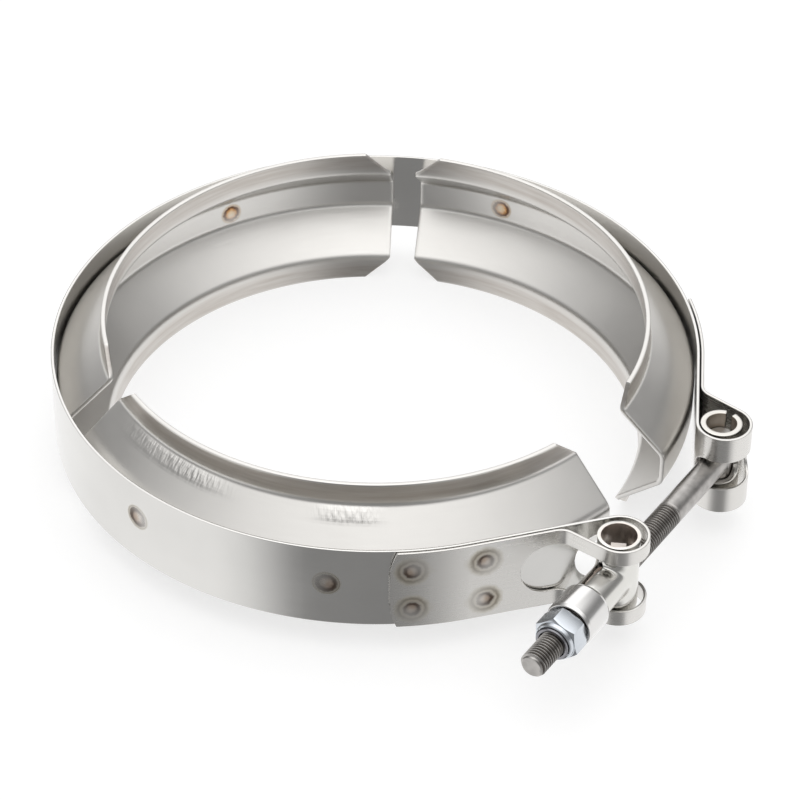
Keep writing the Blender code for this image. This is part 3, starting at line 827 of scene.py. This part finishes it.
def hide_away(obj, matrix, depth_of, reach):
    """Marks how deep each vertex is in a hidden place, a thread's root or a bore: 0 outside, 1 from
    this reach on.
    """
    back = matrix.inverted()
    depths = [depth_of(back @ vertex.co) / reach for vertex in obj.data.vertices]
    store(obj.data, "hidden", np.clip(depths, 0.0, 1.0))
    return obj


# %% [markdown]
# ## The T-bolt
# The shank is plain for 30 mm and threaded from there to its tip. Its head is a short bar
# across the end, which hangs inside the rolled tube like the top of a T. The thread's roots
# are coloured near-black, which is what makes a thread readable from a distance.

# %% T-bolt sizes
BOLT_RADIUS = 3.97 * MM
PITCH = 25.4 * MM / 24
THREAD_DEPTH = 0.62 * MM
THREAD_START = 30 * MM
HEAD_RADIUS = 4.25 * MM
HEAD_LENGTH = 18.4 * MM
TIP_CHAMFER = 0.9 * MM
TIP_DISH = 0.12 * MM
PAST_NUT_HINGE = 48.3 * MM
BOLT_LENGTH = BOLT_SPAN + PAST_NUT_HINGE
CREST, ROOT = 0.0, 1.0
THREAD_STEPS = [(0.0, CREST), (0.16, CREST), (0.45, ROOT), (0.62, ROOT)]


def thread_radius(x, depth):
    """The helix's radius here, faded in where the thread starts and cut by the tip's chamfer."""
    started = min(1.0, max(0.0, (x - THREAD_START) / (2 * PITCH)))
    radius = BOLT_RADIUS - THREAD_DEPTH * started * depth
    return min(radius, BOLT_RADIUS - max(0.0, x - (BOLT_LENGTH - TIP_CHAMFER)))


# %% The thread
def threaded_shank(name, segments=48):
    """A plain shank that becomes a helix, and ends in a slightly dished, chamfered tip."""
    turns = int((BOLT_LENGTH - THREAD_START) / PITCH) + 2
    rows = [[(0.0, BOLT_RADIUS)] * segments]
    for turn in range(-1, turns):
        for share, depth in THREAD_STEPS:
            row = []
            for j in range(segments):
                x = THREAD_START + PITCH * (turn + share + j / segments)
                x = min(max(x, THREAD_START), BOLT_LENGTH)
                row.append((x, thread_radius(x, depth)))
            rows.append(row)
    for share, dished in ((0.85, 0), (0.6, 1), (0.3, 1)):
        tip = (BOLT_LENGTH - TIP_DISH * dished, (BOLT_RADIUS - TIP_CHAMFER) * share)
        rows.append([tip] * segments)
    vertices = [
        (x, r * cos(2 * pi * j / segments), r * sin(2 * pi * j / segments))
        for row in rows
        for j, (x, r) in enumerate(row)
    ]
    last_thread = len(rows) - 4
    faces = []
    for i in range(len(rows) - 1):
        for j in range(segments):
            k = (j + 1) % segments
            near, far = i, i + 1
            if k == 0 and 1 <= i <= last_thread:
                near = min(i + len(THREAD_STEPS), last_thread)
                far = min(i + 1 + len(THREAD_STEPS), last_thread + 1)
            corners = [i * segments + j, (i + 1) * segments + j]
            corners += [far * segments + k, near * segments + k]
            if len(set(corners)) >= 3:
                faces.append(tuple(dict.fromkeys(corners)))
    faces.append(tuple(range(segments)))
    faces.append(tuple(reversed(range((len(rows) - 1) * segments, len(rows) * segments))))
    return tidy_normals(new_object(name, vertices, faces))


# %% The head, and the whole bolt
def upright_bar(name, radius, length, chamfer, segments=64):
    """A vertical bar with chamfered ends, centred on the local origin."""
    half = length / 2
    outline = [(-half, 0), (-half, radius - chamfer), (chamfer - half, radius)]
    outline += [(-x, r) for x, r in reversed(outline)]
    return into_place(tidy_normals(turned(name, outline, segments)), UPRIGHT)


def thread_root_depth(local):
    """How far a point of the shank lies under the thread's crests."""
    if not THREAD_START < local.x < BOLT_LENGTH - TIP_CHAMFER:
        return 0.0
    return BOLT_RADIUS - sqrt(local.y ** 2 + local.z ** 2)


t_bolt = threaded_shank("t_bolt_shank")
boolean(t_bolt, upright_bar("head_bar", HEAD_RADIUS, HEAD_LENGTH, 0.5 * MM), "UNION")
into_place(t_bolt, AT_BOLT_HINGE)
# In the thread's roots the bolt's colour is mixed towards near-black.
hide_away(t_bolt, AT_BOLT_HINGE, thread_root_depth, THREAD_DEPTH)
finish_piece(t_bolt, "t_bolt", "t_bolt", STEELS["bolt"])

# %% [markdown]
# ## The rolled tube in the bolt's loop
# This trunnion is a strip of thick sheet rolled until its ends almost meet. Its seam faces
# away from the bolt, and a window lets the shank out and gives it room to swing. So it is the
# strap's recipe again: a flat strip with one slot, bent along a circle.

# %% Rolled tube
TUBE_RADIUS = 6.35 * MM
ROLLED_WALL = 1.8 * MM
SEAM_WIDTH = 2.6 * MM
ROLLED_MIDDLE = TUBE_RADIUS - ROLLED_WALL / 2
HALF_TURN = pi - asin(SEAM_WIDTH / 2 / TUBE_RADIUS)
ROLLED_HALF = HALF_TURN * ROLLED_MIDDLE
WINDOW = (ROLLED_HALF - 5.7 * MM, ROLLED_HALF + 9.5 * MM, 4.3 * MM)
BORE_REACH = 0.3 * MM


def on_rolled_tube(x, y):
    """A place on the tube, counted round from one side of its seam."""
    angle = x / ROLLED_MIDDLE - HALF_TURN
    local = Vector((ROLLED_MIDDLE * cos(angle), ROLLED_MIDDLE * sin(angle), y))
    return tuple(AT_BOLT_HINGE @ local)


def inside_bore(radius):
    """A measure of how deep a point lies inside a vertical bore."""
    return lambda local: radius + BORE_REACH - sqrt(local.x ** 2 + local.y ** 2)


def tube_edges(x):
    """The window's half width and the tube's, at this distance round it."""
    return slot_edge(x, WINDOW), HALF_STRIP


# %% Roll the tube
window_stops = slot_stops(WINDOW, 10)
even = np.linspace(0, 2 * ROLLED_HALF, 60)
even = [x for x in even if min(abs(x - stop) for stop in window_stops) > 0.1 * MM]
tube_rows = [0, 0.1, 0.25, 0.4, 0.55, 0.7, 0.85, 0.96, 1]
tube = bent_sheet(
    "rolled_tube", sorted(window_stops + even), tube_rows, tube_edges, on_rolled_tube, ROLLED_WALL,
    0.3 * MM)
# Inside its bore the tube's colour is mixed towards its browner bore tone.
hide_away(tube, AT_BOLT_HINGE, inside_bore(TUBE_RADIUS - ROLLED_WALL), BORE_REACH)
finish_piece(tube, "bolt_trunnion", "t_bolt", STEELS["rolled_tube"])

# %% [markdown]
# ## The nut's trunnion
# The other trunnion is a thin cross tube with a sleeve that the bolt runs through, pressed from
# one sheet, so sleeve and tube flow into each other. Two plain rods are joined by a Boolean,
# remeshed to an even skin and smoothed only near the joint, which melts the hard corner into a
# fillet. Everything that was cut on the real one is cut after that, so its edges stay crisp:
# both ends, both bores, the sleeve's open seam and the little hole where seam and tube meet.

# %% Cutting tools
def block(name, low, high):
    """A box between two corners."""
    x, y, z = zip(low, high)
    corners = [(a, b, c) for a in x for b in y for c in z]
    faces = [(0, 1, 3, 2), (4, 6, 7, 5), (0, 4, 5, 1), (2, 3, 7, 6), (0, 2, 6, 4), (1, 5, 7, 3)]
    return new_object(name, corners, faces)


def rod(name, start, end, radius, segments=96):
    """A plain cylinder along X."""
    outline = [(start, 0), (start, radius), (end, radius), (end, 0)]
    return tidy_normals(turned(name, outline, segments))


# %% The pressed skin of tube and sleeve
NUT_TUBE_WALL = 1.05 * MM
SLEEVE_RADIUS = 6.1 * MM
SLEEVE_BORE = 5.2 * MM
SLEEVE_LENGTH = 16 * MM
SPARE = 3 * MM
SKIN_SIZE = 0.3 * MM
JOINT_REACH = 2.8 * MM
JOINT_PASSES = 90


def melt_joint(obj):
    """An even skin over tube and sleeve, smoothed only where the two meet."""
    skin = obj.modifiers.new("even skin", "REMESH")
    skin.mode = "VOXEL"
    skin.voxel_size = SKIN_SIZE
    bake(obj)
    group = obj.vertex_groups.new(name="joint")
    for vertex in obj.data.vertices:
        x, y, z = vertex.co
        off_tube = abs(sqrt(x * x + y * y) - TUBE_RADIUS)
        off_sleeve = abs(sqrt(y * y + z * z) - SLEEVE_RADIUS)
        weight = 1 - max(off_tube, off_sleeve) / JOINT_REACH
        if x > 0 and weight > 0:
            group.add([vertex.index], min(1.0, 2 * weight), "REPLACE")
    smooth = obj.modifiers.new("fillet", "SMOOTH")
    smooth.factor = 0.5
    smooth.iterations = JOINT_PASSES
    smooth.vertex_group = "joint"
    return bake(obj)


# %% Join and melt
tube_half = HALF_STRIP + SPARE
nut_tube = into_place(rod("nut_tube", -tube_half, tube_half, TUBE_RADIUS), UPRIGHT)
boolean(nut_tube, rod("sleeve_form", 0, SLEEVE_LENGTH + SPARE, SLEEVE_RADIUS), "UNION")
melt_joint(nut_tube)
print(f"Skin of the nut's trunnion: {len(nut_tube.data.polygons)} faces")

# %% Ends, bores, seam and rim tab
SLEEVE_SEAM = 1.9 * MM
SEAM_ANGLE = radians(115)
SEAM_HOLE_RADIUS = 1.7 * MM
SEAM_HOLE_OUT = 0.8 * MM
RIM_TAB_TURN = radians(27)
RIM_TAB_LOW = (3.2 * MM, -2.2 * MM, 12.7 * MM)
RIM_TAB_HIGH = (5.7 * MM, 2.2 * MM, 13.8 * MM)
FAR = 20 * MM
trim = block("end_trim", (-FAR, -FAR, -HALF_STRIP), (SLEEVE_LENGTH, FAR, HALF_STRIP))
boolean(nut_tube, trim, "INTERSECT")
NUT_TUBE_BORE = TUBE_RADIUS - NUT_TUBE_WALL
boolean(nut_tube, into_place(rod("tube_bore", -FAR, FAR, NUT_TUBE_BORE), UPRIGHT), "DIFFERENCE")
boolean(nut_tube, rod("sleeve_bore", -FAR, FAR, SLEEVE_BORE), "DIFFERENCE")
seam_turn = Matrix.Rotation(SEAM_ANGLE - pi / 2, 4, "X")
seam_low = (TUBE_RADIUS, -SLEEVE_SEAM / 2, 0)
seam_high = (FAR, SLEEVE_SEAM / 2, 2 * SLEEVE_RADIUS)
boolean(nut_tube, into_place(block("seam_cut", seam_low, seam_high), seam_turn), "DIFFERENCE")
hole_at = seam_turn @ Matrix.Translation((TUBE_RADIUS + SEAM_HOLE_OUT, 0, 0))
hole = rod("seam_hole", 0, 2 * SLEEVE_RADIUS, SEAM_HOLE_RADIUS, 32)
boolean(nut_tube, into_place(hole, hole_at @ Matrix.Rotation(-pi / 2, 4, "Y")), "DIFFERENCE")
rim_tab = block("rim_tab", RIM_TAB_LOW, RIM_TAB_HIGH)
boolean(nut_tube, into_place(rim_tab, Matrix.Rotation(RIM_TAB_TURN, 4, "Z")), "UNION")
soften(nut_tube, 0.2 * MM)
into_place(nut_tube, AT_NUT_HINGE)
# Inside the cross tube's bore the colour is mixed towards the browner bore tone.
hide_away(nut_tube, AT_NUT_HINGE, inside_bore(NUT_TUBE_BORE), BORE_REACH)
finish_piece(nut_tube, "nut_trunnion", "nut_trunnion", STEELS["sleeve"])

# %% [markdown]
# ## Ferrule, nut and lock ring
# The ferrule is a bright turned spacer that presses on the sleeve, with a hollowed mouth that
# shows as a dark line behind the nut. The nut is a hexagon, and its corners are chamfered by
# the same lathe cut that faces it, so it is a turned outline that a hexagonal rod trims. Its
# crown holds a ring that grips the thread.

# %% Ferrule
FERRULE_START = BOLT_SPAN + SLEEVE_LENGTH + 0.3 * MM
FERRULE_LENGTH = 12 * MM
FERRULE_RADIUS = 7.5 * MM
THREAD_BORE = 4.27 * MM
ferrule_end = FERRULE_START + FERRULE_LENGTH
ferrule_outline = [
    (FERRULE_START, THREAD_BORE),
    (FERRULE_START, FERRULE_RADIUS - 1.5 * MM),
    (FERRULE_START + 0.5 * MM, FERRULE_RADIUS - 0.5 * MM),
    (FERRULE_START + 1.5 * MM, FERRULE_RADIUS),
    (ferrule_end - 1.4 * MM, FERRULE_RADIUS),
    (ferrule_end - 0.4 * MM, FERRULE_RADIUS - 0.25 * MM),
    (ferrule_end, FERRULE_RADIUS - 0.6 * MM),
    (ferrule_end - 1.1 * MM, FERRULE_RADIUS - 1.0 * MM),
    (ferrule_end - 1.1 * MM, THREAD_BORE),
]
ferrule = turned("turned_ferrule", rounded(ferrule_outline, 0.25 * MM))
into_place(tidy_normals(ferrule), AT_BOLT_HINGE)
finish_piece(ferrule, "nut_ferrule", "ferrule", STEELS["ferrule"])

# %% Lock nut
NUT_START = ferrule_end + 0.3 * MM
NUT_LENGTH = 6.4 * MM
HALF_FLATS = 6.35 * MM
CORNER = HALF_FLATS / cos(pi / 6)
CORNER_TURN = radians(40)
CROWN_RADIUS = 5.95 * MM
CROWN_LENGTH = 1.5 * MM
GRIP_RADIUS = THREAD_BORE + 0.95 * MM
GRIP_GAP = 0.3 * MM
GRIP_SEAT = 1.2 * MM
bevel = (CORNER - HALF_FLATS) * tan(radians(30))
crown_start = NUT_START + NUT_LENGTH
crown_end = crown_start + CROWN_LENGTH
nut_outline = [
    (NUT_START, THREAD_BORE),
    (NUT_START, HALF_FLATS),
    (NUT_START + bevel, CORNER),
    (crown_start - bevel, CORNER),
    (crown_start, HALF_FLATS),
    (crown_start, CROWN_RADIUS + 0.1 * MM),
    (crown_end - 0.4 * MM, CROWN_RADIUS),
    (crown_end, CROWN_RADIUS - 0.4 * MM),
    (crown_end, GRIP_RADIUS + GRIP_GAP),
    (crown_end - GRIP_SEAT, GRIP_RADIUS + GRIP_GAP),
    (crown_end - GRIP_SEAT, THREAD_BORE),
]
nut = tidy_normals(turned("lock_nut_body", nut_outline, 120))
hexagon = rod("hexagon_form", NUT_START - FAR, crown_end + FAR, CORNER, 6)
boolean(nut, into_place(hexagon, Matrix.Rotation(CORNER_TURN, 4, "X")), "INTERSECT")
soften(nut, 0.12 * MM, 2, 25)
into_place(nut, AT_BOLT_HINGE)
finish_piece(nut, "lock_nut", "nut", STEELS["nut"])

# %% Lock ring
ring_back = crown_end - GRIP_SEAT + GRIP_GAP
ring_front = crown_end + 0.8 * MM
ring_outline = [(ring_back, THREAD_BORE), (ring_back, GRIP_RADIUS)]
ring_outline += [(ring_front, GRIP_RADIUS), (ring_front, THREAD_BORE)]
lock_ring = tidy_normals(turned("grip_ring", rounded(ring_outline, 0.18 * MM)))
into_place(lock_ring, AT_BOLT_HINGE)
finish_piece(lock_ring, "lock_ring", "nut", STEELS["ring"])

# %% [markdown]
# ## A plain pale studio
# Bare metal shows what is around it more than its own colour, so the surroundings are the most
# important lamp. A product photographer lays the clamp on white under one large soft box, and
# leaves the room dark: the box makes the bright slopes, the dark room makes the shading of the
# bends, and the white table shows in everything that faces down. These are bands by height in
# the world here. Two things in the room break them: a dark side, which is the grey stretch in
# the front of the strap, and a light at the back, which shows in the rims that face up. The
# floor is real paper to the camera and takes a shadow, but metal sees the white background
# through it, as in a picture cut out on white.

# %% The floor
FLOOR_SIZE = 30.0
PAPER_GREY = 0.36
PAPER_GLOW = 0.70
FLOOR_CORNERS = [(-1, -1, 0), (1, -1, 0), (1, 1, 0), (-1, 1, 0)]
floor = new_object("floor", FLOOR_CORNERS, [(0, 1, 2, 3)])
floor.data.transform(Matrix.Diagonal((FLOOR_SIZE, FLOOR_SIZE, 1, 1)))
paper = bpy.data.materials.new("white_paper")
paper.use_nodes = True
tree = paper.node_tree
sheet_of_paper = tree.nodes["Principled BSDF"]
sheet_of_paper.inputs["Base Color"].default_value = (PAPER_GREY, PAPER_GREY, PAPER_GREY, 1)
sheet_of_paper.inputs["Roughness"].default_value = 0.9
sheet_of_paper.inputs["Specular IOR Level"].default_value = 0.0
rays = wire(tree, "ShaderNodeLightPath").outputs
glow = wire(tree, "ShaderNodeEmission", Color=(1, 1, 1, 1))
tree.links.new(sums(tree, "MULTIPLY", rays["Is Camera Ray"], PAPER_GLOW), glow.inputs["Strength"])
lit = wire(tree, "ShaderNodeAddShader")
tree.links.new(sheet_of_paper.outputs["BSDF"], lit.inputs[0])
tree.links.new(glow.outputs[0], lit.inputs[1])
through = sums(tree, "MAXIMUM", rays["Is Glossy Ray"], rays["Is Shadow Ray"])
seen_through = wire(tree, "ShaderNodeMixShader", Fac=through)
tree.links.new(lit.outputs[0], seen_through.inputs[1])
tree.links.new(wire(tree, "ShaderNodeBsdfTransparent").outputs[0], seen_through.inputs[2])
tree.links.new(seen_through.outputs[0], tree.nodes["Material Output"].inputs["Surface"])
floor.data.materials.append(paper)

# %% The world by direction
def vector_math(tree, operation, vector, other=(0, 0, 0)):
    """A Vector Math node; its result is a number for a dot product and a vector otherwise."""
    node = wire(tree, "ShaderNodeVectorMath", operation=operation)
    tree.links.new(vector, node.inputs[0])
    node.inputs[1].default_value = other
    return node.outputs["Value" if operation == "DOT_PRODUCT" else "Vector"]


DARK_ROOM_AZIMUTH = radians(-58)
DARK_ROOM = [(0.62, 0.0), (0.75, 0.18), (0.84, 0.50), (0.92, 0.90), (0.95, 1.0)]
DARK_ROOM_HEIGHT = [(0.78, 1.0), (0.85, 0.0)]
DARK_ROOM_GREY = (0.28, 0.28, 0.28)
BACK_LIGHT = Vector((-0.473, 0.628, 0.618))
BACK_LIGHT_EDGE = [(0.90, 0.0), (0.96, 1.0)]
BACK_LIGHT_GREY = (1.45, 1.45, 1.45)
HEIGHT_BANDS = [
    (-0.06, 1.08), (0.05, 0.98), (0.16, 0.34), (0.42, 0.27),
    (0.56, 0.46), (0.67, 0.75), (0.75, 1.05), (0.82, 1.35),
]
world = bpy.data.worlds.new("studio")
bpy.context.scene.world = world
world.use_nodes = True
sky = world.node_tree
direction = wire(sky, "ShaderNodeTexCoord").outputs["Generated"]
height = wire(sky, "ShaderNodeSeparateXYZ", Vector=direction).outputs["Z"]
stops = [((z + 1) / 2, value) for z, value in HEIGHT_BANDS]
height = sums(sky, "MULTIPLY_ADD", height, 0.5, 0.5)
shade = ramp(sky, height, stops)
level = vector_math(sky, "NORMALIZE", vector_math(sky, "MULTIPLY", direction, (1, 1, 0)))
dark_side = (cos(DARK_ROOM_AZIMUTH), sin(DARK_ROOM_AZIMUTH), 0)
toward_room = ramp(sky, vector_math(sky, "DOT_PRODUCT", level, dark_side), DARK_ROOM)
room = sums(sky, "MULTIPLY", toward_room, ramp(sky, height, DARK_ROOM_HEIGHT))
shade = blend(sky, room, shade, DARK_ROOM_GREY, "DARKEN")
back = ramp(sky, vector_math(sky, "DOT_PRODUCT", direction, BACK_LIGHT), BACK_LIGHT_EDGE)
shade = blend(sky, back, shade, BACK_LIGHT_GREY, "LIGHTEN")
from_camera = wire(sky, "ShaderNodeLightPath").outputs["Is Camera Ray"]
seen_white = blend(sky, from_camera, shade, (1.0, 1.0, 1.0))
sky.links.new(seen_white, sky.nodes["Background"].inputs["Color"])
sky.nodes["Background"].inputs["Strength"].default_value = 1.0

# %% A soft lamp above
lamp = bpy.data.lights.new("overhead", "AREA")
lamp.size = 0.9
lamp.energy = 1.0
overhead = bpy.data.objects.new("overhead", lamp)
overhead.location = (0, 0, 1)
bpy.context.scene.collection.objects.link(overhead)
bpy.context.scene.view_settings.view_transform = "Standard"
print(f"One {lamp.size:.1f} m lamp of {lamp.energy:.1f} W, and the world")

# %% [markdown]
# ## The camera
# The photograph looks down on the clamp from the front right through a long lens. Its place
# was worked out from the ring: a circle of known size shows as an ellipse, and the ellipse's
# shape, size and middle give the lens's height, distance and shift.

# %% Camera
AZIMUTH = radians(37)
ELEVATION = 0.6659
ROLL = 0.0047
DISTANCE = 10.6665 * RING_RADIUS
IMAGE = 800
SENSOR = 36
FOCAL_PIXELS = 3428.75
SHIFT_PIXELS = (24.65, -25.61)
level_side = Vector((sin(AZIMUTH), -cos(AZIMUTH), 0))
to_camera = level_side * cos(ELEVATION) + Vector((0, 0, sin(ELEVATION)))
camera_data = bpy.data.cameras.new("camera")
camera = bpy.data.objects.new("camera", camera_data)
bpy.context.scene.collection.objects.link(camera)
camera.matrix_world = (
    Matrix.Translation(RING_CENTRE + to_camera * DISTANCE)
    @ (-to_camera).to_track_quat("-Z", "Y").to_matrix().to_4x4()
    @ Matrix.Rotation(ROLL, 4, "Z")
)
camera_data.sensor_width = SENSOR
camera_data.lens = SENSOR * FOCAL_PIXELS / IMAGE
camera_data.shift_x = SHIFT_PIXELS[0] / IMAGE
camera_data.shift_y = SHIFT_PIXELS[1] / IMAGE
bpy.context.scene.camera = camera
print(f"Lens {camera_data.lens:.0f} mm at {DISTANCE:.2f} m")
